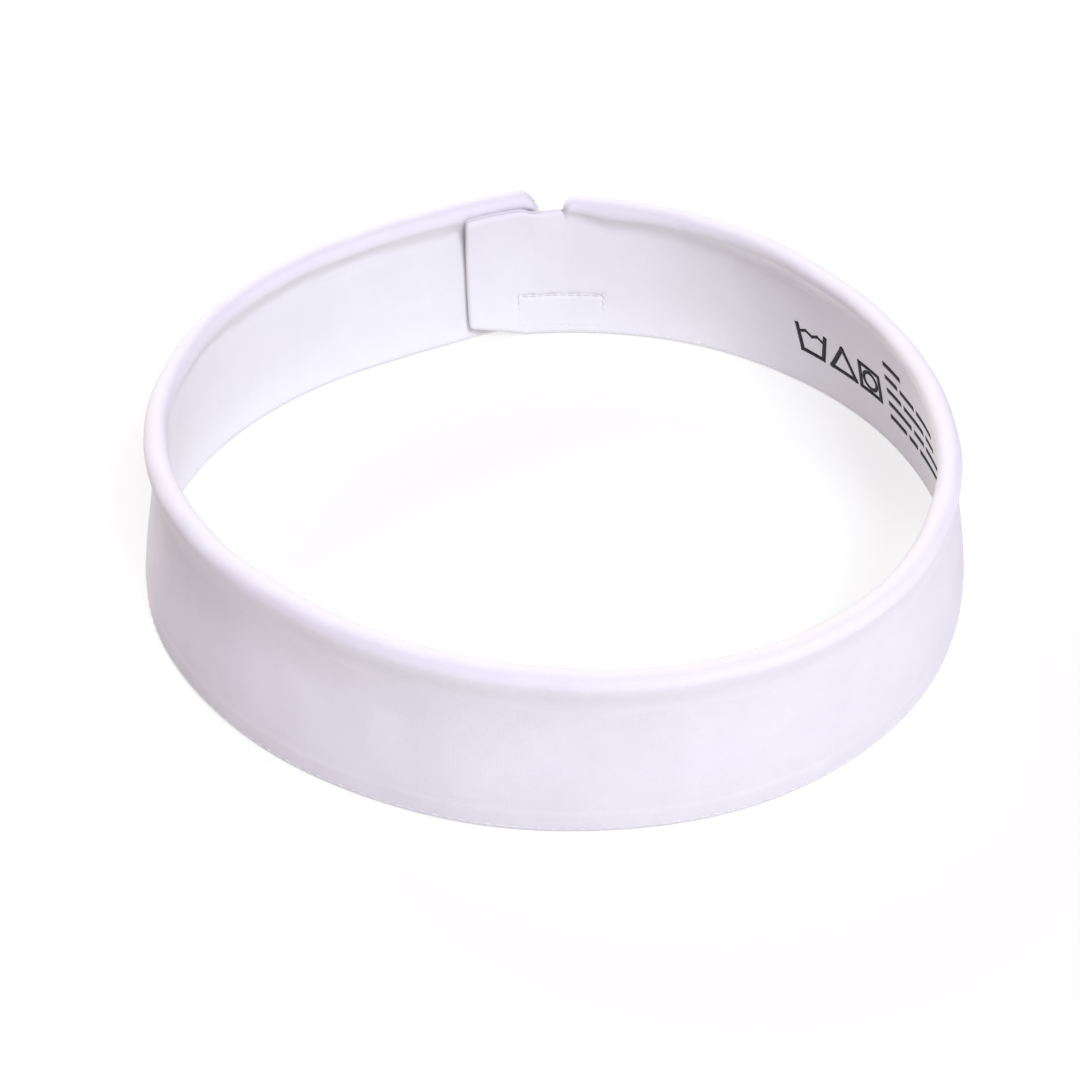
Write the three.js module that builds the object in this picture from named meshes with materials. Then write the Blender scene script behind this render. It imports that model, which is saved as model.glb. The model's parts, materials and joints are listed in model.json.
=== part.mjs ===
// Sports headband: a stiffened fabric band with a corded rim along its top edge.
// It overlaps at the back, where hook and loop tape closes it, and a plain tab backs the join.
// Millimetres, +Z up, front at -Y, closure at +Y, origin under the middle of the band at hem level.

import * as THREE from 'three';

// Overall size
const rimRadius = 89;          // mean radius of the rim's centre line
const hemRadius = 93.9;        // mean radius of the outer face at the hem
const bandHeight = 42.7;       // hem to the top of the rim

// How far the soft ring is out of round at the rim and at the hem, added to the radius
const rimShape = { oval: 0, skew: -3.8, egg: -1.4, lean: -0.5 };
const hemShape = { oval: 2.3, skew: -1.6, egg: -1.0, lean: 0 };

// Layers of the wall, from outside to inside
const shellThickness = 0.4;
const stiffenerThickness = 0.5;
const liningThickness = 0.4;
const clearance = 0.3;         // between neighbouring pieces
const hemFold = 0.4;           // the shell's turned-in lower edge

// Corded rim
const rimTubeRadius = 3.3;     // outside of the fabric cover
const rimCoverThickness = 0.4;
const rimSides = 10;

// Hook and loop tape
const hookThickness = 0.5;
const loopThickness = 0.4;
const tapeLow = 2.4;
const tapeHigh = 13;

// Sewing thread
const threadWidth = 0.35;
const threadGap = 0.1;         // between a thread and the ply that it lies on
const hemSeamHeight = 1.6;
const rimSeamDrop = 0.9;       // from the underside of the rim to the seam below it
const tapeSeamInset = 0.7;     // from the edge of the tape to its stitching

// Places along the band, measured round the rim's circle from the middle of the back,
// positive clockwise from above, so towards +X at the back
const rightRimEnd = 5;
const tabRoot = 4.05;          // the flex line between the right section and the tab
const tabEnd = -21.5;
const leftRimEnd = -4;
const flapEnd = 19;
const flapRise = 1;            // length over which the left section drops to the flap
const hookTapeFrom = -8.5;
const hookTapeTo = 15;
const loopTapeFrom = -10;
const loopTapeTo = 17;
const flatDepth = 1.8;         // how far inward the left section is drawn on its way to the join
const flatStart = -105;        // where it starts to flatten
const flatFull = -50;
const flatFades = -46;         // where it starts to swing back out
const flatEnd = -20;
const overlapStart = -30;      // where it starts to move outward, over the tab and then the tape
const overlapFull = -3;

// Heights at the closure
const tabDrop = 3.2;           // from the top of the rim to the tab's top edge
const flapDrop = 9.7;          // from the top of the rim to the flap's top edge
const tabHemRise = 4.5;        // the tab's lower corner, above the hem
const tabHemStart = -6;        // where the tab's lower edge starts to rise
const tabStandOff = 1.6;       // the tab's free lower corner, inward from its place on the wall
const tabStandOffStart = -3;

// Length of a facet along the band, and near the closure
const facetLength = 7.5;
const closureFacetLength = 3;
const closureFacetsFrom = -66;
const shortestFacet = 0.8;

const wallThickness = shellThickness + stiffenerThickness + liningThickness + 2 * clearance;
const rimCentreHeight = bandHeight - rimTubeRadius;
const rimUnderside = rimCentreHeight - rimTubeRadius;
const tabHeight = bandHeight - tabDrop;
const flapHeight = bandHeight - flapDrop;
const fullTurn = 2 * Math.PI * rimRadius;
const sideFlex = -fullTurn / 4; // the flex line of the left rear section
const tapeOverlap = wallThickness + hookThickness + loopThickness + 3 * clearance;

function outOfRound(shape, angle) {
  const twice = shape.oval * Math.cos(2 * angle) + shape.skew * Math.sin(2 * angle);
  const thrice = shape.egg * Math.cos(3 * angle) + shape.lean * Math.sin(3 * angle);
  return twice + thrice;
}

// A point of the band: along it, outward from the outer face, and above the hem
function bandPoint(along, outward, height) {
  const angle = Math.PI / 2 - along / rimRadius;
  const hemFace = hemRadius + outOfRound(hemShape, angle);
  const rimFace = rimRadius + rimTubeRadius + outOfRound(rimShape, angle);
  const face = THREE.MathUtils.lerp(hemFace, rimFace, height / rimCentreHeight);
  const radius = face + outward;
  return new THREE.Vector3(radius * Math.cos(angle), radius * Math.sin(angle), height);
}

// How far the left section lies outside the right section's face
function overlap(along) {
  const drawnIn = THREE.MathUtils.smoothstep(along, flatStart, flatFull);
  const letOut = THREE.MathUtils.smoothstep(along, flatFades, flatEnd);
  const over = THREE.MathUtils.smoothstep(along, overlapStart, overlapFull);
  return tapeOverlap * over - flatDepth * drawnIn * (1 - letOut);
}

// All pieces share one grid of stations along the band, so that the plies stay parallel.
function stationGrid() {
  const stations = [];
  let at = sideFlex;
  while (at < fullTurn + sideFlex) {
    stations.push(at);
    const nearClosure = at >= closureFacetsFrom && at < flapEnd;
    at += nearClosure ? closureFacetLength : facetLength;
  }
  return stations;
}

const grid = stationGrid();

function stationsBetween(from, to) {
  const stations = [from];
  for (const at of grid) {
    if (at > from + shortestFacet && at < to - shortestFacet) {
      stations.push(at);
    }
  }
  stations.push(to);
  return stations;
}

// Sweeps a section through its stations. The section's x is outward and its y is height.
function sweep(section, stations, toBand) {
  const steps = stations.length - 1;
  const options = { depth: steps, steps, bevelEnabled: false, curveSegments: rimSides };
  const geometry = new THREE.ExtrudeGeometry(section, options);
  const points = geometry.attributes.position;
  for (let i = 0; i < points.count; i += 1) {
    const along = stations[Math.round(points.getZ(i))];
    const [outward, height] = toBand(along, points.getX(i), points.getY(i));
    const point = bandPoint(along, outward, height);
    points.setXYZ(i, point.x, point.y, point.z);
  }
  geometry.computeVertexNormals();
  return geometry;
}

// The three bodies: the right section lies as drawn, the left one overlaps it, and the tab leans in
function onBand(along, outward, height) {
  return [outward, height];
}

function onLeft(along, outward, height) {
  const pastRim = THREE.MathUtils.clamp((along - leftRimEnd) / flapRise, 0, 1);
  const limit = THREE.MathUtils.lerp(bandHeight, flapHeight, pastRim);
  return [outward + overlap(along), Math.min(height, limit)];
}

function onTab(along, outward, height) {
  const pastRoot = THREE.MathUtils.clamp((tabRoot - along) / (tabRoot - leftRimEnd - clearance), 0, 1);
  const clearOfRim = 2 * rimTubeRadius + clearance - overlap(Math.min(along, leftRimEnd));
  const leanAtTop = clearOfRim * pastRoot;
  const leanAtHem = tabStandOff * THREE.MathUtils.smoothstep(-along, -tabStandOffStart, -tabEnd);
  const lean = THREE.MathUtils.lerp(leanAtHem, leanAtTop, height / tabHeight);
  const pastRise = THREE.MathUtils.clamp((tabHemStart - along) / (tabHemStart - tabEnd), 0, 1);
  const rise = tabHemRise * pastRise * Math.max(0, 1 - height / tabHeight);
  return [outward - lean, height + rise];
}

// Sections
function rectangle(outer, thickness, low, high) {
  const section = new THREE.Shape();
  section.moveTo(outer - thickness, low);
  section.lineTo(outer, low);
  section.lineTo(outer, high);
  section.lineTo(outer - thickness, high);
  section.closePath();
  return section;
}

// A tall ply has points half way up too, which keeps its twisting faces close to its neighbours'
function ply(outer, thickness, low, high) {
  const middle = (low + high) / 2;
  const section = new THREE.Shape();
  section.moveTo(outer - thickness, low);
  section.lineTo(outer, low);
  section.lineTo(outer, middle);
  section.lineTo(outer, high);
  section.lineTo(outer - thickness, high);
  section.lineTo(outer - thickness, middle);
  section.closePath();
  return section;
}

// The shell's lower edge is turned in under the other plies
function foldedShell(high) {
  const middle = high / 2;
  const section = new THREE.Shape();
  section.moveTo(-wallThickness, 0);
  section.lineTo(0, 0);
  section.lineTo(0, middle);
  section.lineTo(0, high);
  section.lineTo(-shellThickness, high);
  section.lineTo(-shellThickness, middle);
  section.lineTo(-shellThickness, hemFold);
  section.lineTo(-wallThickness, hemFold);
  section.closePath();
  return section;
}

function ringPath(path, radius) {
  for (let side = 0; side < rimSides; side += 1) {
    const turn = side / rimSides * 2 * Math.PI;
    const x = -rimTubeRadius + radius * Math.cos(turn);
    const y = rimCentreHeight + radius * Math.sin(turn);
    if (side === 0) {
      path.moveTo(x, y);
    } else {
      path.lineTo(x, y);
    }
  }
  path.closePath();
  return path;
}

function rimCoverSection() {
  const section = ringPath(new THREE.Shape(), rimTubeRadius);
  section.holes.push(ringPath(new THREE.Path(), rimTubeRadius - rimCoverThickness));
  return section;
}

function rimCoreSection() {
  return ringPath(new THREE.Shape(), rimTubeRadius - rimCoverThickness - clearance);
}

// The height at which a ply, this far in from the outer face, stops under the rim
function plyTop(innerFace) {
  const across = rimTubeRadius - innerFace;
  return rimCentreHeight - Math.sqrt((rimTubeRadius + clearance) ** 2 - across ** 2);
}

const stiffenerFace = shellThickness + clearance;
const liningFace = stiffenerFace + stiffenerThickness + clearance;
const shellTop = plyTop(shellThickness);
const stiffenerTop = plyTop(stiffenerFace + stiffenerThickness);
const liningTop = plyTop(liningFace + liningThickness);
const plyBottom = hemFold + clearance;
const rimSeamHeight = rimUnderside - rimSeamDrop;

const materials = {
  shell: new THREE.MeshStandardMaterial({ color: 0xe9e5f2, roughness: 0.9, metalness: 0 }),
  lining: new THREE.MeshStandardMaterial({ color: 0xf1eef8, roughness: 0.92, metalness: 0 }),
  stiffener: new THREE.MeshStandardMaterial({ color: 0xe2ddd2, roughness: 0.95, metalness: 0 }),
  rim: new THREE.MeshStandardMaterial({ color: 0xf5f3fb, roughness: 0.9, metalness: 0 }),
  cord: new THREE.MeshStandardMaterial({ color: 0xf4f1e8, roughness: 0.95, metalness: 0 }),
  hook: new THREE.MeshStandardMaterial({ color: 0xf4f4f6, roughness: 0.6, metalness: 0 }),
  loop: new THREE.MeshStandardMaterial({ color: 0xf0eff2, roughness: 1, metalness: 0 }),
  thread: new THREE.MeshStandardMaterial({ color: 0xfbfaff, roughness: 0.7, metalness: 0 }),
};

function piece(name, material, section, from, to, toBand) {
  const mesh = new THREE.Mesh(sweep(section, stationsBetween(from, to), toBand), material);
  mesh.name = name;
  return mesh;
}

function outerThread(height) {
  return rectangle(threadGap + threadWidth, threadWidth, height, height + threadWidth);
}

// A thread row on the inner face of the lining, along the top of the hook tape
function tapeThread() {
  const outer = -wallThickness - threadGap;
  const high = tapeHigh - tapeSeamInset;
  return rectangle(outer, threadWidth, high - threadWidth, high);
}

// One section of the band: shell, stiffener, lining, rim and the seams that join them
function bandSection(prefix, from, to, rimFrom, rimTo, toBand) {
  const stiffener = ply(-stiffenerFace, stiffenerThickness, plyBottom, stiffenerTop);
  const lining = ply(-liningFace, liningThickness, plyBottom, liningTop);
  const group = new THREE.Group();
  group.add(
    piece(`${prefix}outer_shell`, materials.shell, foldedShell(shellTop), from, to, toBand),
    piece(`${prefix}stiffener`, materials.stiffener, stiffener, from, to, toBand),
    piece(`${prefix}lining`, materials.lining, lining, from, to, toBand),
    piece(`${prefix}rim_cover`, materials.rim, rimCoverSection(), rimFrom, rimTo, toBand),
    piece(`${prefix}rim_core`, materials.cord, rimCoreSection(), rimFrom, rimTo, toBand),
    piece(`${prefix}hem_thread`, materials.thread, outerThread(hemSeamHeight), from, to, toBand),
    piece(`${prefix}rim_thread`, materials.thread, outerThread(rimSeamHeight), rimFrom, rimTo, toBand),
  );
  return group;
}

function hookTape(name, from, to, toBand) {
  const section = rectangle(clearance + hookThickness, hookThickness, tapeLow, tapeHigh);
  return piece(name, materials.hook, section, from, to, toBand);
}

// The front and the right side, which nothing flexes
function rightSection() {
  const from = tabRoot + clearance / 2;
  const to = fullTurn + sideFlex - clearance / 2;
  const group = bandSection('', from, to, rightRimEnd, to, onBand);
  group.add(
    hookTape('hook_tape_base', from, hookTapeTo, onBand),
    piece('hook_thread_base', materials.thread, tapeThread(), from, hookTapeTo - tapeSeamInset, onBand),
  );
  return group;
}

// The left rear section, which opens outward, with the flap that carries the loop tape
function leftRearSection() {
  const from = sideFlex + clearance / 2;
  const group = bandSection('left_', from, flapEnd, from, leftRimEnd, onLeft);
  const loopFace = -wallThickness - clearance;
  const loopTape = rectangle(loopFace, loopThickness, tapeLow, tapeHigh);
  group.add(piece('loop_tape', materials.loop, loopTape, loopTapeFrom, loopTapeTo, onLeft));
  return group;
}

// The plain tab that carries on from the right section, inside the left one
function tabSection() {
  const root = tabRoot - clearance / 2;
  const shell = ply(0, shellThickness, 0, tabHeight);
  const stiffener = ply(-stiffenerFace, stiffenerThickness, 0, tabHeight);
  const lining = ply(-liningFace, liningThickness, 0, tabHeight);
  const group = new THREE.Group();
  group.add(
    piece('tab_shell', materials.shell, shell, tabEnd, root, onTab),
    piece('tab_stiffener', materials.stiffener, stiffener, tabEnd, root, onTab),
    piece('tab_lining', materials.lining, lining, tabEnd, root, onTab),
    hookTape('hook_tape_tab', hookTapeFrom, root, onTab),
    piece('hook_thread_tab', materials.thread, tapeThread(), hookTapeFrom + tapeSeamInset, root, onTab),
  );
  return group;
}

const band = new THREE.Group();
band.add(rightSection(), leftRearSection(), tabSection());

// The origin lies at the middle of the whole band's footprint
const footprint = new THREE.Box3().setFromObject(band, true);
const middle = footprint.getCenter(new THREE.Vector3());
band.position.set(-middle.x, -middle.y, -footprint.min.z);

const headband = new THREE.Group();
headband.add(band);

export default headband;
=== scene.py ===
import json
import math

import bpy
import numpy as np
from mathutils import Matrix, Vector


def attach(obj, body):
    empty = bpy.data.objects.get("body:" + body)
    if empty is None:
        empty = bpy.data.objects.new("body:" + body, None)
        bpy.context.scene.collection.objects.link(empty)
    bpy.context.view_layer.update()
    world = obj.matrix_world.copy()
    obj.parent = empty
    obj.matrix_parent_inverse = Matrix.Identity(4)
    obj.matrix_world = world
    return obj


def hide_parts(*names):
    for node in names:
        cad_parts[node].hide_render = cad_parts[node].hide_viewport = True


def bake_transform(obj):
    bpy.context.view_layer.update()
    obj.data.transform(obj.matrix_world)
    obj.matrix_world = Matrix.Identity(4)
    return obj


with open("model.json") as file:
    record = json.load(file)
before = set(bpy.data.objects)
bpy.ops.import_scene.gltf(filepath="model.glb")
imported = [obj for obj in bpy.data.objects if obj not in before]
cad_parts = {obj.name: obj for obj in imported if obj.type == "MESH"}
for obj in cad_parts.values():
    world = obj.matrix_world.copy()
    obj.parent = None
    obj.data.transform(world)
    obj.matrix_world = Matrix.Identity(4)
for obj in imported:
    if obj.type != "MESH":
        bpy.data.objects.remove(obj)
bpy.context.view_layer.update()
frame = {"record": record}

MM = 0.001

# The band's own sizes, in millimetres like all that follow, as the CAD model has them
RIM_RADIUS = 89.0
HEM_RADIUS = 93.9
BAND_HEIGHT = 42.7
WALL_HEIGHT = 38.0
RIM_SHAPE = {"oval": 0.0, "skew": -3.8, "egg": -1.4, "lean": -0.5}
HEM_SHAPE = {"oval": 2.3, "skew": -1.6, "egg": -1.0, "lean": 0.0}
CAD_TUBE = 3.3
CAD_RIM_CENTRE = BAND_HEIGHT - CAD_TUBE
WALL = 1.9
FLAP_HEIGHT = BAND_HEIGHT - 9.7
SIDE_HINGE_RADIUS = 97.7

# The roll as the photo shows it: slimmer than the CAD's tube, and set back from the wall's face
TUBE = 2.75
TUBE_SET_BACK = 0.8
RIM_CENTRE = BAND_HEIGHT - TUBE
RIM_MIDDLE = -TUBE - TUBE_SET_BACK

# Places along the band, from the middle of the back, positive towards +X there. The left pieces run on in
# negative numbers and reach the panel join a full turn back.
TAB_ROOT = 4.05
TAB_END = -21.5
FLAP_END = 19.0
LEFT_RIM_END = -3.0
RIGHT_RIM_END = 4.6
FULL_TURN = 2 * math.pi * RIM_RADIUS
PANEL_JOIN = 165.0
LEFT_START = PANEL_JOIN - FULL_TURN
TAPE_LOW = 2.4
TAPE_HIGH = 13.0
HOOK_TAPE = (-8.5, 15.0)
LOOP_TAPE = (-10.0, 17.0)

# Thicknesses and places of the visible plies, from the outer face inward
PLY = 0.5
STIFFENER = 0.6
MIDDLE = -WALL / 2
SHELL_MIDDLE = -PLY / 2
LINING_MIDDLE = -WALL + PLY / 2
COVER = 0.42
HOOK_TAPE_OUT = 0.2
HOOK_TAPE_THICK = 0.3
HOOKS_OUT = 0.32
LOOP_TAPE_OUT = -WALL - 0.32
LOOP_TAPE_THICK = 0.4

# How far out the middles of the stitches lie: on the band's two faces, and on the two tapes
OUTER_ROW = 0.12
INNER_ROW = -WALL + 0.12
HOOK_TAPE_ROW = 0.62
LOOP_TAPE_ROW = -WALL - 0.5

# Heights where plies end and where rows of stitching run
SHELL_TOP = 34.0
LINING_TOP = 33.4
STIFFENER_TOP = 36.0
STIFFENER_MARGIN = 1.4
STIFFENER_SHORT = 1.6
RIM_SEAM = LINING_TOP - 1.6
HEM_ROW = 1.2
TAPE_SEAM = 0.6
TAPE_SEAM_TOP = TAPE_HIGH - TAPE_SEAM

# How the plies close at an edge: the turn's reach, its share of the way to the wall's middle, the hem's fold,
# the dent under its stitches, and how near a free end the wall grows thin
EDGE_REACH = 1.0
TURN_IN = 0.84
LINING_TUCK = 0.3
HEM_FOLD = 0.18
HEM_FOLD_TOP = (5.3, 6.5)
STITCH_DENT = 0.06
STITCH_DENT_REACH = 0.5
PINCH = 0.9

# The left section passes out over the tab and tapes, and is drawn in flat before that
PASS_OUT = 3.7
DRAWN_IN = 1.8

# The tab leans in past its root, most at its top, and its lower edge rises towards its end
TAB_TOP = 38.7
TAB_TOP_RISE = 1.1
TAB_LEAN_RUN = 7.75
TAB_LEAN_BEND = 2.6
TAB_HEM_LEAN = 1.4
TAB_RISE_START = -6
TAB_RISE = 4.5
TAB_CLEARANCE = 0.15
TAB_FREE_FROM = -4.0

# The corners of the tab and of the flap
TAB_CORNER = 1.2
FLAP_TOP_CORNER = 4.0
FLAP_LOW_CORNER = 3.0

# The roll's free ends, how the right one is pressed flat, the cover's felled edges, and the cord
ROLL_END = 1.8
ROLL_SLANT_RUN = 7.0
ROLL_SLANT_BOW = 0.22
ROLL_END_LEAST = 0.12
FLATTER = 0.2
SET_OUT = 0.7
FLAT_RUN = 13.0
PROUD = 0.09
SUNK = 0.12
FOOT_DEPTH = 4.0
CORD_RADIUS = 1.95
CORD_STRAND = 0.15
CORD_SHORT = 2.5

# The wall's waist on the front left
HOLLOW = 1.4
HOLLOW_MIDDLE = math.radians(222)

joints = {j["name"]: j for j in frame["record"]["behaviour"]["joints"]}
side_hinge = Vector(joints["rear_opening"]["pos_m"])
RING_CENTRE = (side_hinge.x + SIDE_HINGE_RADIUS * MM, side_hinge.y)


def smooth(value, low, high):
    t = np.clip((value - low) / (high - low), 0, 1)
    return t * t * (3 - 2 * t)


def out_of_round(shape, angle):
    twice = shape["oval"] * np.cos(2 * angle) + shape["skew"] * np.sin(2 * angle)
    return twice + shape["egg"] * np.cos(3 * angle) + shape["lean"] * np.sin(3 * angle)


def wall_shape(height):
    """The hem turns in a little at the bottom, and the wall draws in towards the seam under the rim."""
    return 0.05 + 0.22 * smooth(height, -2, 6) - 1.9 * smooth(height, 5, 37)


def hollow(angle, height):
    """The wall is drawn in between rim and hem on the front left, 0 to 1."""
    round_about = (0.5 + 0.5 * np.cos(angle - HOLLOW_MIDDLE)) ** 3
    return round_about * smooth(height, 5, 25) * (1 - smooth(height, 25, 40))


def ripple(angle, height):
    """Slow, shallow waves of a stiffened strip that has been bent round, in millimetres."""
    wall = np.sin(np.pi * np.clip(height / WALL_HEIGHT, 0, 1))
    slow = 0.14 * np.sin(6 * angle + 0.7) + 0.09 * np.sin(11 * angle + 2.1 + 0.05 * height)
    quick = 0.06 * np.sin(19 * angle + 0.4 - 0.09 * height) + 0.035 * np.sin(31 * angle + 0.12 * height)
    return slow + quick * wall - HOLLOW * hollow(angle, height)


def band_points(along, outward, height):
    """Points of the band in the row frame, in metres, from millimetres along, outward and up."""
    along, outward, height = (np.asarray(v, float) for v in (along, outward, height))
    angle = np.pi / 2 - along / RIM_RADIUS
    hem_face = HEM_RADIUS + out_of_round(HEM_SHAPE, angle)
    rim_face = RIM_RADIUS + CAD_TUBE + out_of_round(RIM_SHAPE, angle)
    face = hem_face + (rim_face - hem_face) * height / CAD_RIM_CENTRE
    radius = face + outward + ripple(angle, height)
    x = radius * np.cos(angle) * MM + RING_CENTRE[0]
    y = radius * np.sin(angle) * MM + RING_CENTRE[1]
    return np.stack([x, y, height * MM], -1)


def overlap(along):
    """How far the left section lies outside the band's own circle."""
    drawn_in = smooth(along, -105, -50) * (1 - smooth(along, -46, -20))
    return PASS_OUT * smooth(along, -30, -3) - DRAWN_IN * drawn_in


def tab_top(along):
    return TAB_TOP + TAB_TOP_RISE * smooth(-along, 2.5, 7)


def rim_on_right(along, outward, height):
    return along, outward, height


def rim_on_left(along, outward, height):
    return along, outward + overlap(along), height


def on_left(along, outward, height):
    return along, outward + wall_shape(height) + overlap(along), height


def on_right(along, outward, height):
    """The right section, and past its root the tab, which leans in to pass inside the left section's rim."""
    past_root = np.clip((TAB_ROOT - along) / TAB_LEAN_RUN, 0, 1)
    past_root = past_root * past_root * (1.6 - 0.6 * past_root)
    behind = overlap(np.minimum(along, TAB_FREE_FROM))
    at_top = (2 * TUBE + TUBE_SET_BACK + TAB_CLEARANCE - behind) * past_root
    at_hem = TAB_HEM_LEAN * smooth(-along, 3, -TAB_END)
    up = np.clip(height / WALL_HEIGHT, 0, 1.0)
    lean = at_hem + (at_top - at_hem) * up ** TAB_LEAN_BEND
    past_rise = np.clip((TAB_RISE_START - along) / (TAB_RISE_START - TAB_END), 0, 1)
    rise = TAB_RISE * past_rise * np.maximum(0, 1 - up)
    return along, outward + wall_shape(height) * (1 - past_root) - lean, height + rise


# ---------------------------------------------------------------- meshes

def make_object(name, vertices, faces, uv=None, material=None, creases=()):
    mesh = bpy.data.meshes.new(name)
    mesh.from_pydata([tuple(v) for v in vertices], [], [tuple(int(i) for i in f) for f in faces])
    if uv is not None:
        layer = mesh.uv_layers.new(name="cloth")
        layer.data.foreach_set("uv", np.asarray(uv, np.float32).ravel())
    mesh.validate()
    mesh.polygons.foreach_set("use_smooth", [True] * len(mesh.polygons))
    if creases:
        creased = set(creases)
        sharp = [tuple(sorted(edge.vertices)) in creased for edge in mesh.edges]
        mesh.attributes.new("sharp_edge", "BOOLEAN", "EDGE").data.foreach_set("value", sharp)
    obj = bpy.data.objects.new(name, mesh)
    bpy.context.scene.collection.objects.link(obj)
    if material is not None:
        mesh.materials.append(material)
    return obj


def sweep(name, stations, section_at, place, material):
    """A closed piece: a loop of (outward, height) points at each station, joined up and capped.

    Each loop runs along one face and back along the other, so that its ends close with neat strips. A left
    piece's cloth is measured a full turn on, so that the weave carries on from the right piece at the join.
    """
    loops, lengths = [], []
    for along in stations:
        section = section_at(along)
        shift = section[:, 2] if section.shape[1] > 2 else 0.0
        a, o, h = place(along + shift + 0 * section[:, 0], section[:, 0], section[:, 1])
        loops.append(band_points(a, o, h))
        steps = np.linalg.norm(np.diff(section[:, :2], axis=0, append=section[:1, :2]), axis=1)
        lengths.append(np.concatenate([[0], np.cumsum(steps)]))
    count = len(loops[0])
    vertices = np.concatenate(loops)
    runs_on = FULL_TURN if math.isclose(stations[0], LEFT_START, abs_tol=0.01) else 0.0
    cloth_along = [s + runs_on for s in stations]
    faces, uv = [], []
    for k in range(len(stations) - 1):
        for i in range(count):
            j = (i + 1) % count
            quad = (k * count + i, (k + 1) * count + i, (k + 1) * count + j, k * count + j)
            corners = ((k, i), (k + 1, i), (k + 1, i + 1), (k, i + 1))
            faces.append(quad)
            uv.extend((cloth_along[s], lengths[s][c]) for s, c in corners)
    for k, flip in ((0, True), (len(stations) - 1, False)):
        for i in range(count // 2 - 1):
            quad = [k * count + v for v in (i, i + 1, count - 2 - i, count - 1 - i)]
            corners = [(k, v) for v in (i, i + 1, count - 2 - i, count - 1 - i)]
            if flip:
                quad, corners = quad[::-1], corners[::-1]
            faces.append(quad)
            uv.extend((cloth_along[s], lengths[s][c]) for s, c in corners)
    creases = [tuple(sorted((k * count + i, k * count + (i + 1) % count)))
               for k in (0, len(stations) - 1) for i in range(count)]
    return make_object(name, vertices, faces, uv, material, creases)


def strip(path, thickness):
    """A closed loop of even thickness round an open path of (outward, height) points."""
    path = np.asarray(path, float)
    run = np.gradient(path, axis=0)
    run /= np.linalg.norm(run, axis=1)[:, None]
    side = np.stack([run[:, 1], -run[:, 0]], 1)
    half = np.full(len(path), thickness / 2)
    half[[0, -1]] *= 0.45
    half[[1, -2]] *= 0.9
    return np.concatenate([path + side * half[:, None], (path - side * half[:, None])[::-1]])


def stations_between(low, high, step=1.4):
    return np.linspace(low, high, int(math.ceil(abs(high - low) / step)) + 1)


def pinched(stations, ends):
    """Stations with extra ones near the given ends, where plies turn in to meet each other."""
    extra = []
    for end, way in ends:
        extra += [end + way * PINCH * u for u in (0.02, 0.12, 0.3, 0.55, 0.8, 1.0)]
    return np.array(sorted(set(np.round(np.concatenate([stations, extra]), 4))))


def pinch(along, ends):
    """How thick the wall still is near its free ends, as a share."""
    factor = 1.0
    for end, way in ends:
        depth = min(max((along - end) * way / PINCH, 0.0), 1.0)
        factor *= math.sqrt(max(1 - (1 - depth) ** 2, 0.0004))
    return factor


# ---------------------------------------------------------------- materials

def node(tree, kind, **values):
    made = tree.nodes.new(kind)
    for key, value in values.items():
        setattr(made, key, value)
    return made


def maths(tree, operation, *inputs):
    made = node(tree, "ShaderNodeMath", operation=operation)
    for slot, value in enumerate(inputs):
        if isinstance(value, (int, float)):
            made.inputs[slot].default_value = value
        else:
            tree.links.new(value, made.inputs[slot])
    return made.outputs[0]


def noise(tree, vector, scale, detail=3.0, roughness=0.55, stretch=(1, 1, 1)):
    mapping = node(tree, "ShaderNodeMapping")
    mapping.inputs["Scale"].default_value = stretch
    tree.links.new(vector, mapping.inputs["Vector"])
    made = node(tree, "ShaderNodeTexNoise")
    made.inputs["Scale"].default_value = scale
    made.inputs["Detail"].default_value = detail
    made.inputs["Roughness"].default_value = roughness
    tree.links.new(mapping.outputs[0], made.inputs["Vector"])
    return made.outputs["Fac"]


def ramp(tree, factor, stops):
    made = node(tree, "ShaderNodeValToRGB")
    made.color_ramp.elements[0].position, made.color_ramp.elements[0].color = stops[0]
    made.color_ramp.elements[1].position, made.color_ramp.elements[1].color = stops[-1]
    for position, colour in stops[1:-1]:
        made.color_ramp.elements.new(position).color = colour
    tree.links.new(factor, made.inputs["Fac"])
    return made.outputs["Color"]


def grey(value):
    return (value, value, value, 1)


def tinted(colour, amount):
    return tuple(c * amount for c in colour) + (1,)


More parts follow.
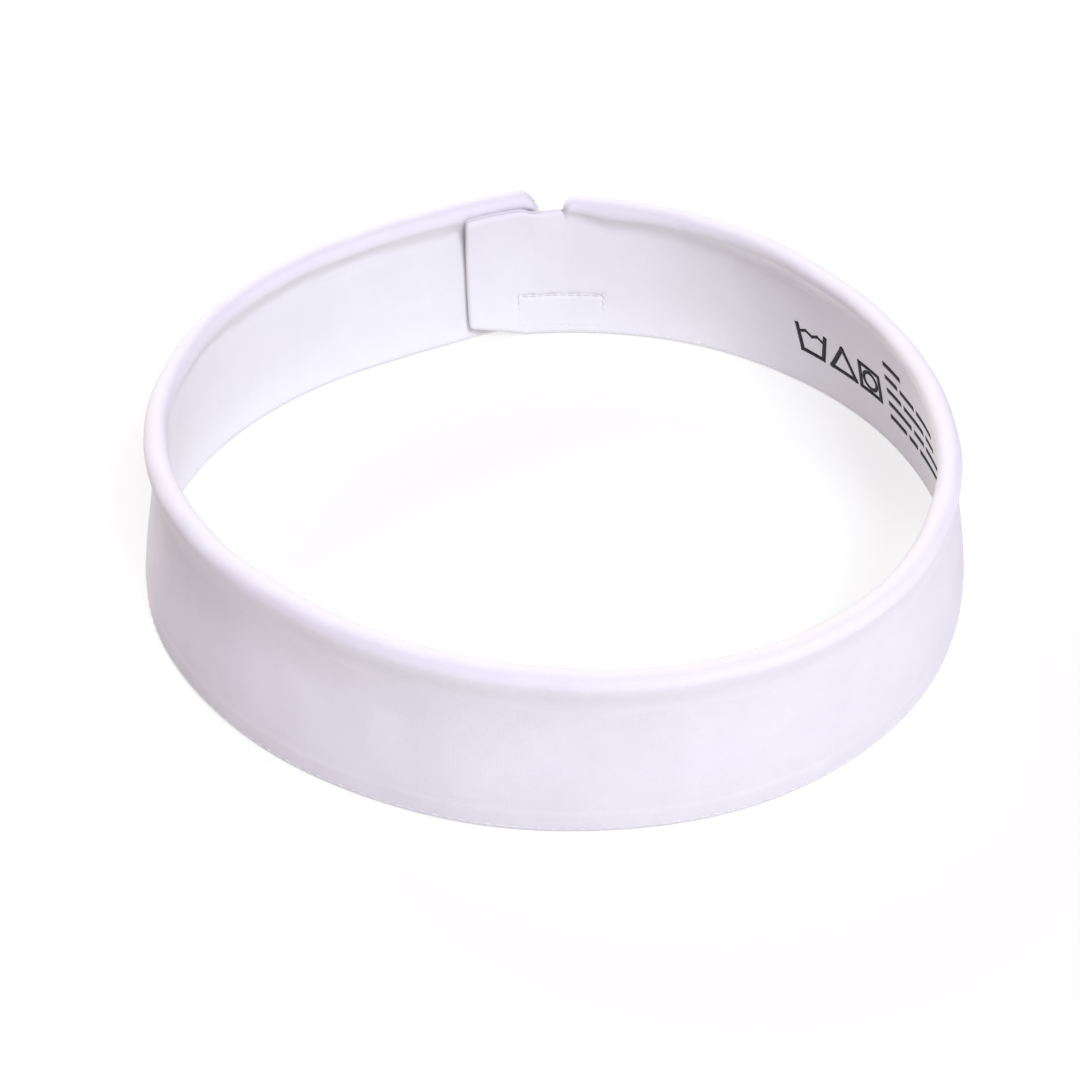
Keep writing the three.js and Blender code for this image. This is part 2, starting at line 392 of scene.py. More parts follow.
def cloth(name, colour, pitch=0.42, weave=0.25, roughness=0.88, sheen=0.12, mottle=0.05, fuzz=0.3, slub=0.5):
    """Plain-woven fabric: crossing yarns, slubs, a soft mottle and a little fuzz. UVs are in millimetres."""
    material = bpy.data.materials.new(name)
    material.use_nodes = True
    tree = material.node_tree
    shader = tree.nodes["Principled BSDF"]
    place = node(tree, "ShaderNodeUVMap", uv_map="cloth").outputs[0]
    split = node(tree, "ShaderNodeSeparateXYZ")
    tree.links.new(place, split.inputs[0])
    turn = math.pi / pitch
    warp = maths(tree, "SINE", maths(tree, "MULTIPLY", split.outputs["X"], turn))
    weft = maths(tree, "SINE", maths(tree, "MULTIPLY", split.outputs["Y"], turn))
    over = maths(tree, "GREATER_THAN", maths(tree, "MULTIPLY", warp, weft), 0.0)
    up = maths(tree, "MULTIPLY", maths(tree, "ABSOLUTE", warp), over)
    down = maths(tree, "MULTIPLY", maths(tree, "ABSOLUTE", weft), maths(tree, "SUBTRACT", 1.0, over))
    yarn = maths(tree, "ADD", up, down)
    slubs = maths(tree, "ADD", noise(tree, place, 1.0, 2.0, 0.5, (0.25, 2.4, 1)),
                  noise(tree, place, 1.0, 2.0, 0.5, (2.4, 0.25, 1)))
    lint = noise(tree, place, 3.2, 4.0, 0.7)
    soft = noise(tree, place, 0.07, 4.0, 0.6)
    height = maths(tree, "ADD", maths(tree, "MULTIPLY", yarn, weave),
                   maths(tree, "ADD", maths(tree, "MULTIPLY", slubs, slub * 0.5),
                         maths(tree, "MULTIPLY", lint, fuzz)))
    bump = node(tree, "ShaderNodeBump")
    bump.inputs["Strength"].default_value = 0.5
    bump.inputs["Distance"].default_value = 0.00012
    tree.links.new(height, bump.inputs["Height"])
    tree.links.new(bump.outputs[0], shader.inputs["Normal"])
    dark = ramp(tree, soft, [(0.3, tinted(colour, 1 - mottle)), (0.7, tinted(colour, 1.0))])
    shade = node(tree, "ShaderNodeMix", data_type="RGBA", blend_type="MULTIPLY")
    shade.inputs["Factor"].default_value = 1.0
    tree.links.new(dark, shade.inputs[6])
    # Painted shade: the colour is darkened a little in the gaps between the yarns, where shade falls, and
    # lifted a little at random with the lint
    yarn_gap_shade_and_lint = maths(tree, "ADD", maths(tree, "MULTIPLY", yarn, 0.05), maths(tree, "MULTIPLY", lint, 0.04))
    tree.links.new(ramp(tree, yarn_gap_shade_and_lint, [(0.0, grey(0.955)), (0.075, grey(1.0))]), shade.inputs[7])
    tree.links.new(shade.outputs[2], shader.inputs["Base Color"])
    rough = maths(tree, "ADD", roughness - 0.06, maths(tree, "MULTIPLY", lint, 0.12))
    tree.links.new(rough, shader.inputs["Roughness"])
    shader.inputs["Sheen Weight"].default_value = sheen
    shader.inputs["Sheen Roughness"].default_value = 0.45
    shader.inputs["Specular IOR Level"].default_value = 0.25
    return material


WHITE = (0.77, 0.765, 0.775)
materials = {
    "shell": cloth("shell_fabric", WHITE, mottle=0.06),
    "lining": cloth("lining_fabric", WHITE, pitch=0.36, weave=0.18, mottle=0.04),
    "rim": cloth("rim_fabric", WHITE, pitch=0.42, mottle=0.03),
    "stiffener": cloth("stiffener_felt", (0.70, 0.67, 0.62), pitch=0.9, weave=0.05, fuzz=0.9, slub=0.2),
    "cord": cloth("cord_cotton", (0.74, 0.71, 0.66), pitch=0.3, weave=0.6, roughness=0.95),
    "hook": cloth("hook_nylon", (0.76, 0.76, 0.77), pitch=0.5, weave=0.4, roughness=0.5, sheen=0.0, fuzz=0.1),
    "loop": cloth("loop_pile", (0.74, 0.74, 0.75), pitch=0.5, weave=0.1, roughness=0.95, sheen=0.5, fuzz=1.0),
    "thread": cloth("thread_polyester", (0.79, 0.785, 0.795), pitch=0.14, weave=0.6, roughness=0.55,
                    sheen=0.1),
    "ink": cloth("printed_ink", (0.012, 0.011, 0.014), pitch=0.36, weave=0.18, roughness=0.6, sheen=0.0),
}


# ---------------------------------------------------------------- sections of the wall

# Where a ply's section has its points: up its height, closer together at the edges, and about the tape's seam
UP = np.concatenate([np.linspace(0, 0.06, 5)[:-1], np.linspace(0.06, 0.94, 44), np.linspace(0.94, 1, 5)[1:]])
GROOVE = (-2.0, -1.5, -1.1, -0.8, -0.5, -0.25, 0.0, 0.25, 0.5, 0.8, 1.1, 1.5, 2.0)


def edge_turn(height, low, high, reach):
    """How far a ply has turned from its own face towards the middle of the wall, 0 to 1, at each edge."""
    down = 1 - np.sqrt(np.clip(1 - (1 - np.clip((height - low) / reach, 0, 1)) ** 2, 0, 1))
    up = 1 - np.sqrt(np.clip(1 - (1 - np.clip((high - height) / reach, 0, 1)) ** 2, 0, 1))
    return down, up


def ply_section(face_middle, low, high, tuck, squeeze=1.0, groove=None):
    """A fabric ply that turns in at its lower edge, and under the rim or to the other ply at its upper one."""
    height = low + PLY / 2 + UP * (high - low - PLY)
    if groove is not None:
        height = np.sort(np.concatenate([height, TAPE_SEAM_TOP + np.array(GROOVE)]))
    down, up = edge_turn(height, low, high, EDGE_REACH)
    to_middle = (MIDDLE - face_middle) * TURN_IN
    under_rim = 0.0 if face_middle > MIDDLE else LINING_TUCK
    outward = face_middle + to_middle * down + (to_middle + (under_rim - to_middle) * tuck) * up
    outward += (HEM_FOLD * (1 - smooth(height, *HEM_FOLD_TOP))) * (face_middle > MIDDLE)
    dent = STITCH_DENT * np.exp(-((height - low - HEM_ROW) / STITCH_DENT_REACH) ** 2)
    outward -= np.sign(face_middle - MIDDLE) * dent
    if groove is not None:
        outward = outward + groove(height)
    outward = MIDDLE + (outward - MIDDLE) * squeeze
    return strip(np.stack([outward, height], 1), PLY * squeeze)


def wall_ply(name, face_middle, low_at, high_at, tuck_at, stations, place, material, ends, groove_at=None):
    stations = pinched(stations, ends)

    def section(along):
        groove = groove_at(along) if groove_at else None
        low, high, tuck = low_at(along), high_at(along), tuck_at(along)
        return ply_section(face_middle, low, high, tuck, pinch(along, ends), groove)

    return sweep(name, stations, section, place, material)


def tape_groove(along):
    """The lining is drawn in along the top and the two ends of the seam that holds the hook tape."""
    low, high = HOOK_TAPE[0] + TAPE_SEAM, HOOK_TAPE[1] - TAPE_SEAM
    wander = 0.10 * math.sin(along * 0.9) + 0.05 * math.sin(along * 2.3 + 1)
    reach = float(smooth(along, low - 0.8, low + 0.2) * (1 - smooth(along, high - 0.2, high + 0.8)))
    pull = reach * (0.33 + 0.11 * math.sin(along * 1.1 + 0.5) + 0.06 * math.sin(along * 2.7))
    ends = math.exp(-((along - low) / 0.9) ** 2) + math.exp(-((along - high) / 0.9) ** 2)

    def groove(height):
        across = pull * np.exp(-((height - TAPE_SEAM_TOP - wander) / 0.85) ** 2)
        past_top = smooth(height, TAPE_SEAM_TOP, TAPE_SEAM_TOP + 0.7)
        below = 0.2 * ends * smooth(height, 6.5, 11.0) * (1 - past_top)
        return np.maximum(across, below)
    return groove


def flap_corner(along, radius):
    """How much a rounded corner takes off the flap's edge at this place."""
    into = max(0.0, along - (FLAP_END - radius))
    return radius - math.sqrt(max(radius ** 2 - into ** 2, 0.0))


def tab_corner(along, radius):
    into = max(0.0, TAB_END + radius - along)
    return radius - math.sqrt(max(radius ** 2 - into ** 2, 0.0))


def left_top(under_rim):
    def top(along):
        past = float(smooth(along, LEFT_RIM_END - 0.2, LEFT_RIM_END + 2.2))
        return under_rim + (FLAP_HEIGHT - under_rim) * past - flap_corner(along, FLAP_TOP_CORNER)
    return top


def left_low(along):
    return flap_corner(along, FLAP_LOW_CORNER)


def left_tuck(along):
    return 1 - float(smooth(along, LEFT_RIM_END - 0.5, LEFT_RIM_END + 1.5))


def right_tuck(along):
    return float(smooth(along, 5.0, 8.5))


def right_top(under_rim):
    def top(along):
        free = float(tab_top(along)) - tab_corner(along, TAB_CORNER)
        return free + (under_rim - free) * right_tuck(along)
    return top


def right_low(along):
    return tab_corner(along, TAB_CORNER)


def finer(stations, low, high, step):
    between = stations[(stations < low) | (stations > high)]
    return np.array(sorted(set(np.round(np.concatenate([between, stations_between(low, high, step)]), 4))))


right_span = finer(stations_between(TAB_END, PANEL_JOIN), TAB_END, 17.0, 0.42)
left_span = finer(stations_between(LEFT_START, FLAP_END), -6.0, 2.0, 0.5)
flap_edge = ((FLAP_END, -1),)
tab_edge = ((TAB_END, 1),)

shell_right = wall_ply("shell_right", SHELL_MIDDLE, right_low, right_top(SHELL_TOP), right_tuck,
                       right_span, on_right, materials["shell"], tab_edge)
lining_right = wall_ply("lining_right", LINING_MIDDLE, right_low, right_top(LINING_TOP), right_tuck,
                        right_span, on_right, materials["lining"], tab_edge, tape_groove)
shell_left = wall_ply("shell_left", SHELL_MIDDLE, left_low, left_top(SHELL_TOP), left_tuck,
                      left_span, on_left, materials["shell"], flap_edge)
lining_left = wall_ply("lining_left", LINING_MIDDLE, left_low, left_top(LINING_TOP), left_tuck,
                       left_span, on_left, materials["lining"], flap_edge)


def stiffener(name, low, high, bottom_at, top_at, place):
    def section(along):
        base, top = bottom_at(along) + STIFFENER_MARGIN, top_at(along) - STIFFENER_MARGIN
        height = base + (top - base) * np.linspace(0, 1, 13)
        return strip(np.stack([MIDDLE + 0 * height, height], 1), STIFFENER)
    return sweep(name, stations_between(low, high, 2.5), section, place, materials["stiffener"])


stiffener_right = stiffener("stiffener_right", TAB_END + STIFFENER_SHORT, PANEL_JOIN,
                            right_low, right_top(STIFFENER_TOP), on_right)
stiffener_left = stiffener("stiffener_left", LEFT_START, FLAP_END - STIFFENER_SHORT,
                           left_low, left_top(STIFFENER_TOP), on_left)


# ---------------------------------------------------------------- rolled rim

def rim_waves(along, turn):
    """Small dents and puckers of the roll: deepest at the seam underneath, fading out over the top."""
    angle = along / RIM_RADIUS
    low = 0.5 - 0.5 * np.sin(turn)
    slow = 0.08 * np.sin(17 * angle + 1.2 + turn) + 0.05 * np.sin(29 * angle + 2 * turn)
    pucker = 0.07 * np.sin(118 * angle + 0.8 * np.sin(37 * angle)) + 0.04 * np.sin(201 * angle + 1.3)
    return slow * 0.8 + pucker * low ** 1.5


def roll_start(along):
    """Where the fabric leaves the roll on the outside: early in front on the left, where it hangs down."""
    angle = along / RIM_RADIUS
    return math.radians(-20 - 20 * math.sin(angle + 0.9) + 3 * math.sin(3 * angle))


def drag(along):
    """The seam under the roll pulls the cloth up and down a little along its way, in millimetres."""
    angle = along / RIM_RADIUS
    slow = 0.45 * math.sin(9 * angle + 1.0) + 0.35 * math.sin(23 * angle + 2.0)
    return slow + 0.22 * math.sin(47 * angle + 0.6) + 0.12 * math.sin(83 * angle)


def roll_stop(along):
    """Where the fabric leaves the roll on the inside, on its way down to the lining."""
    angle = along / RIM_RADIUS
    return math.radians(213 + 14 * math.cos(angle - 1.2) + 4 * math.sin(7 * angle) + 3 * drag(along))


def slimmer(along):
    """The right roll is pressed flatter towards its end at the back: 1 at the end, 0 past a short run-in."""
    return float(1 - smooth(along - RIGHT_RIM_END, 0, FLAT_RUN)) if along >= RIGHT_RIM_END - 1 else 0.0


def roll_centre(flat):
    """Where the roll's middle lies, outward and up, for how flat it is pressed."""
    return RIM_MIDDLE + SET_OUT * flat, RIM_CENTRE + TUBE * FLATTER * flat


def flank(start, stop, start_way, stop_way, count=12):
    """Points on a smooth curve between two points, leaving and arriving in the two given directions."""
    start, stop = np.array(start), np.array(stop)
    size = np.linalg.norm(stop - start)
    ends = np.array(start_way) * size, np.array(stop_way) * size
    u = np.linspace(0, 1, count)[:, None]
    return ((2 * u ** 3 - 3 * u ** 2 + 1) * start + (u ** 3 - 2 * u ** 2 + u) * ends[0]
            + (3 * u ** 2 - 2 * u ** 3) * stop + (u ** 3 - u ** 2) * ends[1])


def rim_end(along, ends):
    """How much the roll closes in at a free end, and how far the end is cut on a slant."""
    scale, slant = 1.0, 0.0
    for end, way, tilt in ends:
        depth = min(max((along - end) * way / ROLL_END, 0.0), 1.0)
        scale *= max(math.sqrt(max(1 - (1 - depth) ** 2, 0.0)), ROLL_END_LEAST)
        slant += tilt * (1 - float(smooth((along - end) * way, 0.0, ROLL_SLANT_RUN)))
    return scale, slant


def foot(face_middle, top, proud):
    """The cover's edge, felled to a ply of the wall: just proud of it at the top, sunk into it lower down."""
    heights = np.array([top - FOOT_DEPTH, top - FOOT_DEPTH / 2, top])
    way = np.sign(proud) * np.array([-0.06, 0.03, 0.0]) + np.array([0.0, 0.0, proud])
    return np.stack([face_middle + wall_shape(heights) + way, heights], 1)


def rim_cover(name, stations, place, ends):
    """Fabric rolled once round the cord, its two edges felled to the faces of the wall."""
    for end, way, _ in ends:
        closing = (0.003, 0.012, 0.03, 0.06, 0.1, 0.16, 0.23, 0.32, 0.43, 0.55, 0.68, 0.84)
        stations = np.concatenate([stations, [end + way * ROLL_END * u for u in closing]])
    stations = np.array(sorted(set(np.round(stations, 4))))

    def section(along):
        scale, slant = rim_end(along, ends)
        first, last = roll_start(along), roll_stop(along)
        turns = np.linspace(first, last, 40)
        flat = slimmer(along)
        radius = (TUBE - COVER / 2 + rim_waves(along, turns)) * scale * (1 - FLATTER * flat)
        middle, centre = roll_centre(flat)
        roll = np.stack([middle + radius * np.cos(turns), centre + radius * np.sin(turns)], 1)
        proud = PROUD * scale - SUNK * (1 - scale)
        outer = foot(SHELL_MIDDLE, SHELL_TOP, proud)
        inner = foot(LINING_MIDDLE, LINING_TOP + drag(along), -proud)[::-1]
        up = np.array([-math.sin(first), math.cos(first)])
        down = np.array([-math.sin(last), math.cos(last)])
        path = np.concatenate([outer[:-1], flank(outer[-1], roll[0], (-0.03, 1.0), up)[:-1], roll,
                               flank(roll[-1], inner[0], down, (0.03, -1.0))[1:], inner[1:]])
        loop = strip(path, COVER * min(scale * 1.5, 1.0))
        rise = np.clip(loop[:, 1] - RIM_CENTRE, -TUBE, TUBE)
        shift = -slant * rise - ROLL_SLANT_BOW * slant * np.maximum(rise, 0) ** 2
        return np.concatenate([loop, shift[:, None]], 1)

    return sweep(name, stations, section, place, materials["rim"])


def rim_cord(name, low, high, place):
    """Three twisted strands inside the cover."""
    turns = np.radians(np.linspace(0, 360, 25)[:-1])

    def section(along):
        twist = along / RIM_RADIUS * 62
        flat = slimmer(along)
        strands = CORD_RADIUS + CORD_STRAND * np.abs(np.cos(1.5 * turns + twist / 2))
        radius = strands * (1 - FLATTER * flat)
        middle, centre = roll_centre(flat)
        return np.stack([middle + radius * np.cos(turns), centre + radius * np.sin(turns)], 1)

    return sweep(name, stations_between(low, high, 1.1), section, place, materials["cord"])


right_ends = ((RIGHT_RIM_END, 1, -0.28),)
left_ends = ((LEFT_RIM_END, -1, 0.5),)
rim_right = rim_cover("rim_cover_right", stations_between(RIGHT_RIM_END, PANEL_JOIN, 0.9),
                      rim_on_right, right_ends)
rim_left = rim_cover("rim_cover_left", stations_between(LEFT_START, LEFT_RIM_END, 0.9),
                     rim_on_left, left_ends)
cord_right = rim_cord("rim_cord_right", RIGHT_RIM_END + CORD_SHORT, PANEL_JOIN, rim_on_right)
cord_left = rim_cord("rim_cord_left", LEFT_START, LEFT_RIM_END - CORD_SHORT, rim_on_left)


# ---------------------------------------------------------------- stitching

random = np.random.default_rng(11)


def stitch_shape(length, width, depth):
    """One stitch as a rounded bar: points (along, across, outward) and faces."""
    rings, sides = 7, 6
    points = []
    for k in range(rings):
        t = -1 + 2 * k / (rings - 1)
        girth = max(math.sqrt(max(1 - abs(t) ** 2.6, 0)), 0.12)
        for s in range(sides):
            turn = 2 * math.pi * s / sides
            points.append((t * length / 2, width / 2 * girth * math.cos(turn),
                           depth / 2 * girth * math.sin(turn) - 0.12 * depth * t * t * 2))
    faces = []
    for k in range(rings - 1):
        for s in range(sides):
            here, after = k * sides + s, k * sides + (s + 1) % sides
            faces.append((here, after, after + sides, here + sides))
    faces.append(tuple(range(sides))[::-1])
    faces.append(tuple((rings - 1) * sides + s for s in range(sides)))
    return np.array(points), faces


def stitch_row(route, pitch=2.75, length=2.15, width=0.42, depth=0.34):
    """Stitches along a route of (along, outward, height) points, in millimetres of the band."""
    route = np.asarray(route, float)
    steps = np.linalg.norm(np.diff(route[:, [0, 2]], axis=0), axis=1)
    run = np.concatenate([[0], np.cumsum(steps)])
    count = max(1, int(run[-1] // pitch))
    gap = run[-1] / count
    shape, shape_faces = stitch_shape(length * gap / pitch, width, depth)
    vertices, faces = [], []
    for i in range(count):
        middle = (i + 0.5) * gap + random.uniform(-0.08, 0.08)
        centre = np.array([np.interp(middle, run, route[:, c]) for c in range(3)])
        ahead = np.array([np.interp(min(middle + 0.4, run[-1]), run, route[:, c]) for c in range(3)])
        behind = np.array([np.interp(max(middle - 0.4, 0), run, route[:, c]) for c in range(3)])
        way = (ahead - behind)[[0, 2]]
        way /= np.linalg.norm(way)
        tilt = random.uniform(-0.07, 0.07)
        way = np.array([way[0] * math.cos(tilt) - way[1] * math.sin(tilt),
                        way[0] * math.sin(tilt) + way[1] * math.cos(tilt)])
        a = centre[0] + shape[:, 0] * way[0] - shape[:, 1] * way[1]
        h = centre[2] + shape[:, 0] * way[1] + shape[:, 1] * way[0]
        o = centre[1] + shape[:, 2]
        base = len(vertices) * len(shape)
        vertices.append(np.stack([a, o, h], 1))
        faces += [tuple(base + v for v in f) for f in shape_faces]
    return np.concatenate(vertices), faces


def stitches(name, routes, place, **sizes):
    vertices, faces, offset = [], [], 0
    for route in routes:
        v, f = stitch_row(route, **sizes)
        a, o, h = place(v[:, 0], v[:, 1], v[:, 2])
        vertices.append(band_points(a, o, h))
        faces += [tuple(offset + i for i in one) for one in f]
        offset += len(v)
    points = np.concatenate(vertices)
    flat = [tuple(points[i][[0, 2]] / MM) for f in faces for i in f]
    return make_object(name, points, faces, flat, materials["thread"])


def level_route(low, high, outward, height):
    along = stations_between(low, high, 3.0)
    return np.stack([along, 0 * along + outward, 0 * along + height], 1)


def box_route(tape_ends, outward):
    """A rectangle of stitching just inside the edges of a tape."""
    low, high = tape_ends[0] + TAPE_SEAM, tape_ends[1] - TAPE_SEAM
    bottom, top = TAPE_LOW + TAPE_SEAM, TAPE_HIGH - TAPE_SEAM
    corners = [(low, bottom), (low, top), (high, top), (high, bottom), (low, bottom)]
    return np.array([(a, outward, h) for a, h in corners])


both_faces = (OUTER_ROW, INNER_ROW)
hem_right = stitches("hem_stitches_right",
                     [level_route(TAB_END + 1.5, PANEL_JOIN, row, HEM_ROW) for row in both_faces], on_right)
hem_left = stitches("hem_stitches_left",
                    [level_route(LEFT_START, FLAP_END - 3, row, HEM_ROW) for row in both_faces], on_left)
fine = {"pitch": 2.3, "length": 1.7, "width": 0.34, "depth": 0.24}
seam_right = stitches("rim_seam_right", [level_route(RIGHT_RIM_END + 2, PANEL_JOIN, INNER_ROW, RIM_SEAM)],
                      on_right, **fine)
seam_left = stitches("rim_seam_left", [level_route(LEFT_START, LEFT_RIM_END - 2, INNER_ROW, RIM_SEAM)],
                     on_left, **fine)
tape_seam = stitches("hook_tape_stitches",
                     [box_route(HOOK_TAPE, INNER_ROW), box_route(HOOK_TAPE, HOOK_TAPE_ROW)],
                     on_right, pitch=2.0, length=1.6)
loop_seam = stitches("loop_tape_stitches",
                     [box_route(LOOP_TAPE, OUTER_ROW), box_route(LOOP_TAPE, LOOP_TAPE_ROW)],
                     on_left, pitch=2.3, length=1.8)


# ---------------------------------------------------------------- hook and loop tape

STEM = 1.1


def tape(name, ends, outward, thickness, place, material):
    def section(along):
        height = np.linspace(TAPE_LOW, TAPE_HIGH, 12)
        return strip(np.stack([outward + 0 * height, height], 1), thickness)
    return sweep(name, stations_between(*ends, 1.2), section, place, material)


def hook_point(turn):
    """How high a hook stands and how far it reaches over at this much of its length: a stem, then a curl."""
    if turn < STEM:
        return 0.42 * min(turn / STEM, 1), 0.0
    return 0.42 + 0.13 * math.sin(turn - STEM), 0.2 * (1 - math.cos(turn - STEM))


def hooks(name, ends, outward, place, material):
    """Rows of small upright hooks that curl over at the tip."""
    turns = [0.0, 0.55, STEM, 1.7, 2.4, 3.0]
    vertices, faces = [], []
    for i, along in enumerate(np.arange(ends[0] + 1.3, ends[1] - 1.0, 1.15)):
        for height in np.arange(TAPE_LOW + 1.5, TAPE_HIGH - 1.2, 1.0):
            way = 1 if i % 2 else -1
            base = len(vertices)
            for turn in turns:
                rise, reach = hook_point(turn)
                for side in range(4):
                    angle = math.pi / 2 * side
                    vertices.append((along + way * reach + 0.08 * math.cos(angle), outward + rise * 0.9,
                                     height + 0.1 * math.sin(angle)))
            for k in range(len(turns) - 1):
                for side in range(4):
                    here, after = base + 4 * k + side, base + 4 * k + (side + 1) % 4
                    faces.append((here, after, after + 4, here + 4))
            faces.append((base + 3, base + 2, base + 1, base))
            last = base + 4 * (len(turns) - 1)
            faces.append((last, last + 1, last + 2, last + 3))
    points = np.array(vertices)
    flat = [(points[i][0], points[i][2]) for f in faces for i in f]
    a, o, h = place(points[:, 0], points[:, 1], points[:, 2])
    return make_object(name, band_points(a, o, h), faces, flat, material)


hook_tape = tape("hook_tape", HOOK_TAPE, HOOK_TAPE_OUT, HOOK_TAPE_THICK, on_right, materials["hook"])
hook_pins = hooks("hook_tape_hooks", HOOK_TAPE, HOOKS_OUT, on_right, materials["hook"])
loop_tape = tape("loop_tape_pile", LOOP_TAPE, LOOP_TAPE_OUT, LOOP_TAPE_THICK, on_left, materials["loop"])


# ---------------------------------------------------------------- printed care marks

INK = 0.06
INK_PIECE = 0.8


def ribbon(points, width, closed=False):
    """A thin printed line through (along, height) points, in short pieces that follow the lining's curve."""
    points = [np.array(p, float) for p in points]
    if closed:
        points.append(points[0])
    vertices, faces = [], []
    for a, b in zip(points, points[1:]):
        length = np.linalg.norm(b - a)
        way = (b - a) / length
        side = np.array([-way[1], way[0]]) * width / 2
        count = max(1, int(math.ceil(length / INK_PIECE)))
        base = len(vertices)
        for k in range(count + 1):
            middle = a - way * width * 0.5 + way * (length + width) * k / count
            for lift in (0.0, INK):
                vertices += [(*(middle - side), lift), (*(middle + side), lift)]
        for k in range(count):
            n = base + 4 * k
            faces += [(n, n + 4, n + 5, n + 1), (n + 2, n + 3, n + 7, n + 6)]
            faces += [(n, n + 2, n + 6, n + 4), (n + 1, n + 5, n + 7, n + 3)]
        n = base + 4 * count
        faces += [(base, base + 1, base + 3, base + 2), (n, n + 2, n + 3, n + 1)]
    return vertices, faces


def circle(centre, radius, count=28):
    turns = [2 * math.pi * k / count for k in range(count)]
    return [(centre[0] + radius * math.cos(turn), centre[1] + radius * math.sin(turn)) for turn in turns]


def printed(name, strokes):
    vertices, faces = [], []
    for points, width, closed in strokes:
        v, f = ribbon(points, width, closed)
        faces += [tuple(len(vertices) + i for i in one) for one in f]
        vertices += v
    points = np.array(vertices)
    flat = [(points[i][0], points[i][1]) for f in faces for i in f]
    place = on_right(points[:, 0], -WALL - 0.01 - points[:, 2], points[:, 1])
    return make_object(name, band_points(*place), faces, flat, materials["ink"])


# Sizes of the symbols and of the bars, and their places along and up
SYMBOL = 9.8
BOLD = 1.3
SYMBOL_HEIGHT = 16.2
TUB, TRIANGLE, DRYER = 75.5, 86.5, 97.0
BAR_START = 105.5
BAR_TOP = 27.4
BAR_PITCH = 4.3
BAR_GAP = 2.9
BAR_WIDTH = 1.5


def at(middle, dx, dz):
    """A point of a symbol, from its middle along the band and in shares of the symbols' size."""
    return (middle + dx * SYMBOL, SYMBOL_HEIGHT + dz * SYMBOL)


tub_outline = [at(TUB, -0.5, 0.4), at(TUB, -0.36, -0.4), at(TUB, 0.36, -0.4), at(TUB, 0.5, 0.4)]
water = [at(TUB, dx, dz) for dx, dz in ((-0.42, 0.2), (-0.21, 0.3), (0.0, 0.2), (0.21, 0.3), (0.42, 0.2))]
peak = [at(TRIANGLE, -0.45, -0.4), at(TRIANGLE, 0.45, -0.4), at(TRIANGLE, 0.0, 0.42)]
square = [at(DRYER, dx, dz) for dx, dz in ((-0.4, -0.4), (0.4, -0.4), (0.4, 0.4), (-0.4, 0.4))]
care_marks = printed("care_symbols", [
    (tub_outline, BOLD, False),
    (water, BOLD * 0.7, False),
    (peak, BOLD, True),
    (square, BOLD, True),
    (circle(at(DRYER, 0, 0), SYMBOL * 0.26), BOLD * 0.8, True),
])

# Plain bars in place of the text: the lengths of the words, line by line
BAR_LENGTHS = ((7.0,), (4.5, 6.0, 8.5), (5.5, 9.5, 4.0), (10.0, 4.0, 7.0), (6.5, 3.0, 10.5))
bars = []
for row, words in enumerate(BAR_LENGTHS):
    start, level = BAR_START, BAR_TOP - BAR_PITCH * row
    for word in words:
        bars.append(([(start, level), (start + word, level)], BAR_WIDTH, False))
        start += word + BAR_GAP
care_bars = printed("care_bars", bars)


# ---------------------------------------------------------------- bodies

for piece, slot_name, nodes in (
    (rim_right, "rim_fabric", ["rim_cover"]),
    (cord_right, "rim_cord", ["rim_core"]),
    (seam_right, "thread", ["rim_thread"]),
    (care_marks, "lining_fabric", []),
    (care_bars, "lining_fabric", []),
):
    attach(piece, "band")
    if nodes:
        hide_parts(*nodes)

for piece, slot_name, nodes in (
    (shell_left, "shell_fabric", ["left_outer_shell", "outer_shell"]),
    (lining_left, "lining_fabric", ["left_lining", "lining"]),
    (stiffener_left, "stiffener", ["left_stiffener", "stiffener"]),
    (rim_left, "rim_fabric", ["left_rim_cover", "rim_cover"]),
    (cord_left, "rim_cord", ["left_rim_core", "rim_core"]),
    (hem_left, "thread", ["left_hem_thread", "hem_thread"]),
    (seam_left, "thread", ["left_rim_thread", "rim_thread"]),
):
    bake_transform(piece)
    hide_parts(*nodes)

for piece, slot_name, nodes in ((loop_tape, "loop_tape", ["loop_tape"]), (loop_seam, "thread", [])):
    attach(piece, "left_rear")
    if nodes:
        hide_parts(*nodes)

for piece, slot_name, nodes in (
    (shell_right, "shell_fabric", ["outer_shell", "tab_shell"]),
    (lining_right, "lining_fabric", ["lining", "tab_lining"]),
    (stiffener_right, "stiffener", ["stiffener", "tab_stiffener"]),
    (hem_right, "thread", ["hem_thread"]),
    (hook_tape, "hook_tape", ["hook_tape_base", "hook_tape_tab"]),
    (hook_pins, "hook_tape", []),
    (tape_seam, "thread", ["hook_thread_base", "hook_thread_tab"]),
):
    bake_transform(piece)
    if nodes:
        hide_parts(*nodes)


# ---------------------------------------------------------------- floor, light and camera

def plain(name, colour, glow):
    material = bpy.data.materials.new(name)
    material.use_nodes = True
    shader = material.node_tree.nodes["Principled BSDF"]
    shader.inputs["Base Color"].default_value = (*colour, 1)
    shader.inputs["Roughness"].default_value = 0.9
    shader.inputs["Specular IOR Level"].default_value = 0.0
    shader.inputs["Emission Color"].default_value = (1, 1, 1, 1)
    shader.inputs["Emission Strength"].default_value = glow
    return material


# The floor's half width and height, in metres
FLOOR = 15.0
FLOOR_HEIGHT = -0.0002
FLOOR_SHADE = (0.24, 0.24, 0.24)
FLOOR_GLOW = 0.74
floor_material = plain("floor_white", FLOOR_SHADE, FLOOR_GLOW)
floor = make_object("floor", [(-FLOOR, -FLOOR, FLOOR_HEIGHT), (FLOOR, -FLOOR, FLOOR_HEIGHT),
                              (FLOOR, FLOOR, FLOOR_HEIGHT), (-FLOOR, FLOOR, FLOOR_HEIGHT)],
                    [(0, 1, 2, 3)], material=floor_material)


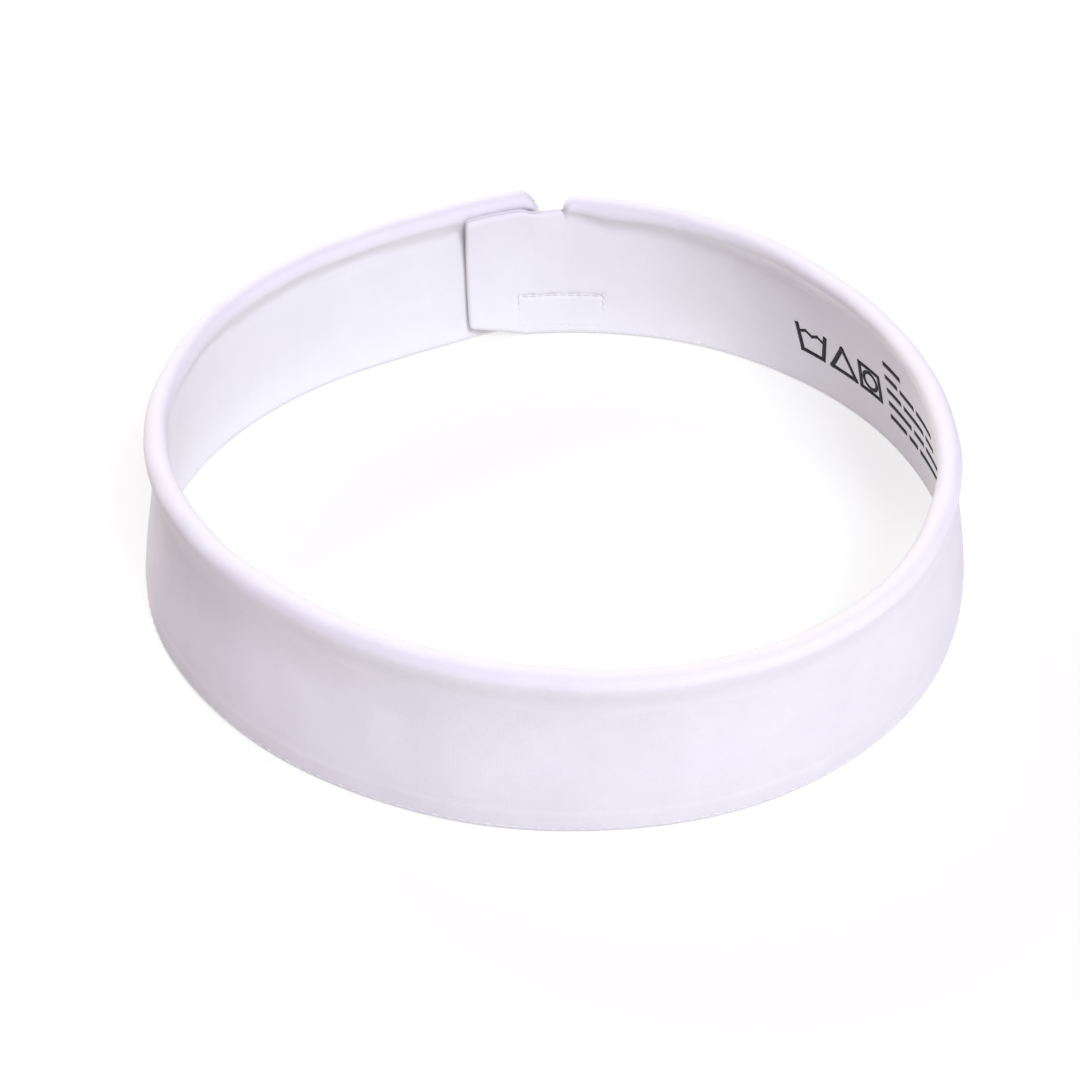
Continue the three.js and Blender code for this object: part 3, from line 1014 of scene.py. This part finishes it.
def soft_light(name, azimuth, elevation, power, colour, size=0.6, distance=1.6):
    """A round soft light aimed at the band: azimuth from +X towards +Y, and elevation, in degrees."""
    turn, rise = math.radians(azimuth), math.radians(elevation)
    flat = math.cos(rise)
    place = Vector((math.cos(turn) * flat, math.sin(turn) * flat, math.sin(rise))) * distance
    data = bpy.data.lights.new(name, "AREA")
    data.shape = "DISK"
    data.size, data.energy, data.color = size, power, colour
    light = bpy.data.objects.new(name, data)
    light.location = place
    light.rotation_mode = "QUATERNION"
    light.rotation_quaternion = (-place).to_track_quat("-Z", "Y")
    bpy.context.scene.collection.objects.link(light)


# One above and in front, a little to the right. The other lower, behind on the left, lights the inside of
# the front.
soft_light("key", -62, 50, 24.6, (0.91, 0.97, 1.11))
soft_light("back", 118, 30, 20.5, (1.0, 1.06, 0.95))

# A faint surround, for what the two lights leave in shadow
world = bpy.data.worlds.new("studio")
world.use_nodes = True
surround = world.node_tree.nodes["Background"]
surround.inputs["Color"].default_value = (1.0, 0.50, 0.80, 1)
surround.inputs["Strength"].default_value = 0.265
bpy.context.scene.world = world
bpy.context.scene.view_settings.view_transform = "Standard"
bpy.context.scene.view_settings.look = "None"

# The camera stands in front of the band at three times its width and looks down over the rim
CAMERA_ELEVATION = math.radians(40.17)
CAMERA_ROLL = math.radians(-1.81)
CAMERA_DISTANCE = 6 * RIM_RADIUS * MM
CAMERA_LENS = 74.42
CAMERA_SHIFT = (-0.0153, 0.0078)
optics = bpy.data.cameras.new("camera")
optics.sensor_width = 36.0
optics.lens = CAMERA_LENS
optics.shift_x, optics.shift_y = CAMERA_SHIFT
optics.clip_start, optics.clip_end = 0.01, 40
camera = bpy.data.objects.new("camera", optics)
look = Vector((0, math.cos(CAMERA_ELEVATION), -math.sin(CAMERA_ELEVATION)))
level_up = Vector((0, math.sin(CAMERA_ELEVATION), math.cos(CAMERA_ELEVATION)))
level_right = Vector((1, 0, 0))
right = level_right * math.cos(CAMERA_ROLL) + level_up * math.sin(CAMERA_ROLL)
up = level_up * math.cos(CAMERA_ROLL) - level_right * math.sin(CAMERA_ROLL)
axes = Matrix((right, up, -look)).transposed()
camera.matrix_world = Matrix.Translation(Vector((*RING_CENTRE, 0)) - look * CAMERA_DISTANCE) @ axes.to_4x4()
bpy.context.scene.collection.objects.link(camera)
bpy.context.scene.camera = camera

bpy.context.view_layer.update()
